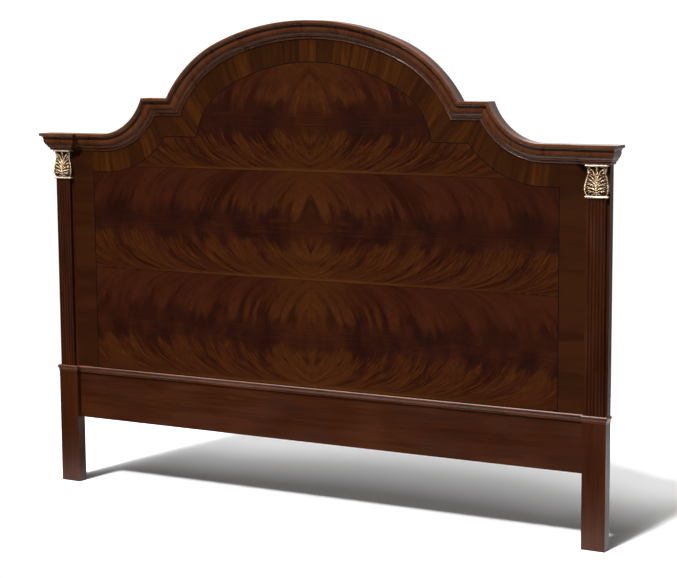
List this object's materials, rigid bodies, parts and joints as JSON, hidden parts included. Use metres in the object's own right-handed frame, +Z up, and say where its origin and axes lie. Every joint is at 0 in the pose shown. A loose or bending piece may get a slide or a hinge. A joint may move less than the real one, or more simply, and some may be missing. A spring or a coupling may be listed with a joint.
{
  "type": "bed headboard",
  "caption": "King-size mahogany headboard with an arched cornice, fluted pilasters, gilt leaf capitals and a bookmatched flame veneer field.",
  "frame": {"origin": "on the floor, below the middle of the headboard's box", "axes": "+X to the right for someone who faces the veneered front, +Y from the front to the flat back, +Z up"},
  "size_m": [2.1, 0.074, 1.5959],
  "materials": {
    "mahogany": "dark red-brown mahogany, satin lacquer",
    "edging": "dark stained mahogany edging, satin lacquer",
    "core_board": "raw fibreboard",
    "backing": "plain mahogany backing veneer, thin dull lacquer",
    "crossband": "straight-grained mahogany cross-banding, satin lacquer",
    "stringing": "black-dyed stringing",
    "flame": "bookmatched flame mahogany, satin lacquer",
    "gilt": "carved wood, antiqued gold leaf with dark wash in the hollows",
    "dowel": "raw beech",
    "insert": "zinc-plated steel"
  },
  "bodies": {
    "root": {"post_left": "mahogany", "post_right": "mahogany", "bottom_rail": "mahogany", "rail_cap": "mahogany", "plinth_cap_left": "mahogany", "plinth_cap_right": "mahogany", "pilaster_left": "mahogany", "pilaster_right": "mahogany", "cornice_block_left": "mahogany", "cornice_block_right": "mahogany", "bed_mould_block_left": "mahogany", "bed_mould_block_right": "mahogany", "cornice_arch": "mahogany", "cornice_step_left": "mahogany", "cornice_step_right": "mahogany", "cornice_cove_left": "mahogany", "cornice_cove_right": "mahogany", "bed_mould_arch": "mahogany", "bed_mould_step_left": "mahogany", "bed_mould_step_right": "mahogany", "bed_mould_cove_left": "mahogany", "bed_mould_cove_right": "mahogany", "lipping_arch": "edging", "lipping_step_left": "edging", "lipping_step_right": "edging", "lipping_cove_left": "edging", "lipping_cove_right": "edging", "panel_core": "core_board", "back_veneer": "backing", "crossband_arch": "crossband", "crossband_step_left": "crossband", "crossband_step_right": "crossband", "crossband_cove_left": "crossband", "crossband_cove_right": "crossband", "crossband_side_left": "crossband", "crossband_side_right": "crossband", "stringing_arch": "stringing", "stringing_side_left": "stringing", "stringing_side_right": "stringing", "flame_bottom_left": "flame", "flame_bottom_right": "flame", "flame_middle_left": "flame", "flame_middle_right": "flame", "flame_top_left": "flame", "flame_top_right": "flame", "capital_left": "gilt", "capital_right": "gilt", "capital_neck_bead_left": "gilt", "capital_neck_bead_right": "gilt", "capital_abacus_left": "gilt", "capital_abacus_right": "gilt", "panel_dowels": "dowel", "block_dowels": "dowel", "frame_inserts_left": "insert", "frame_inserts_right": "insert"}
  },
  "joints": []
}
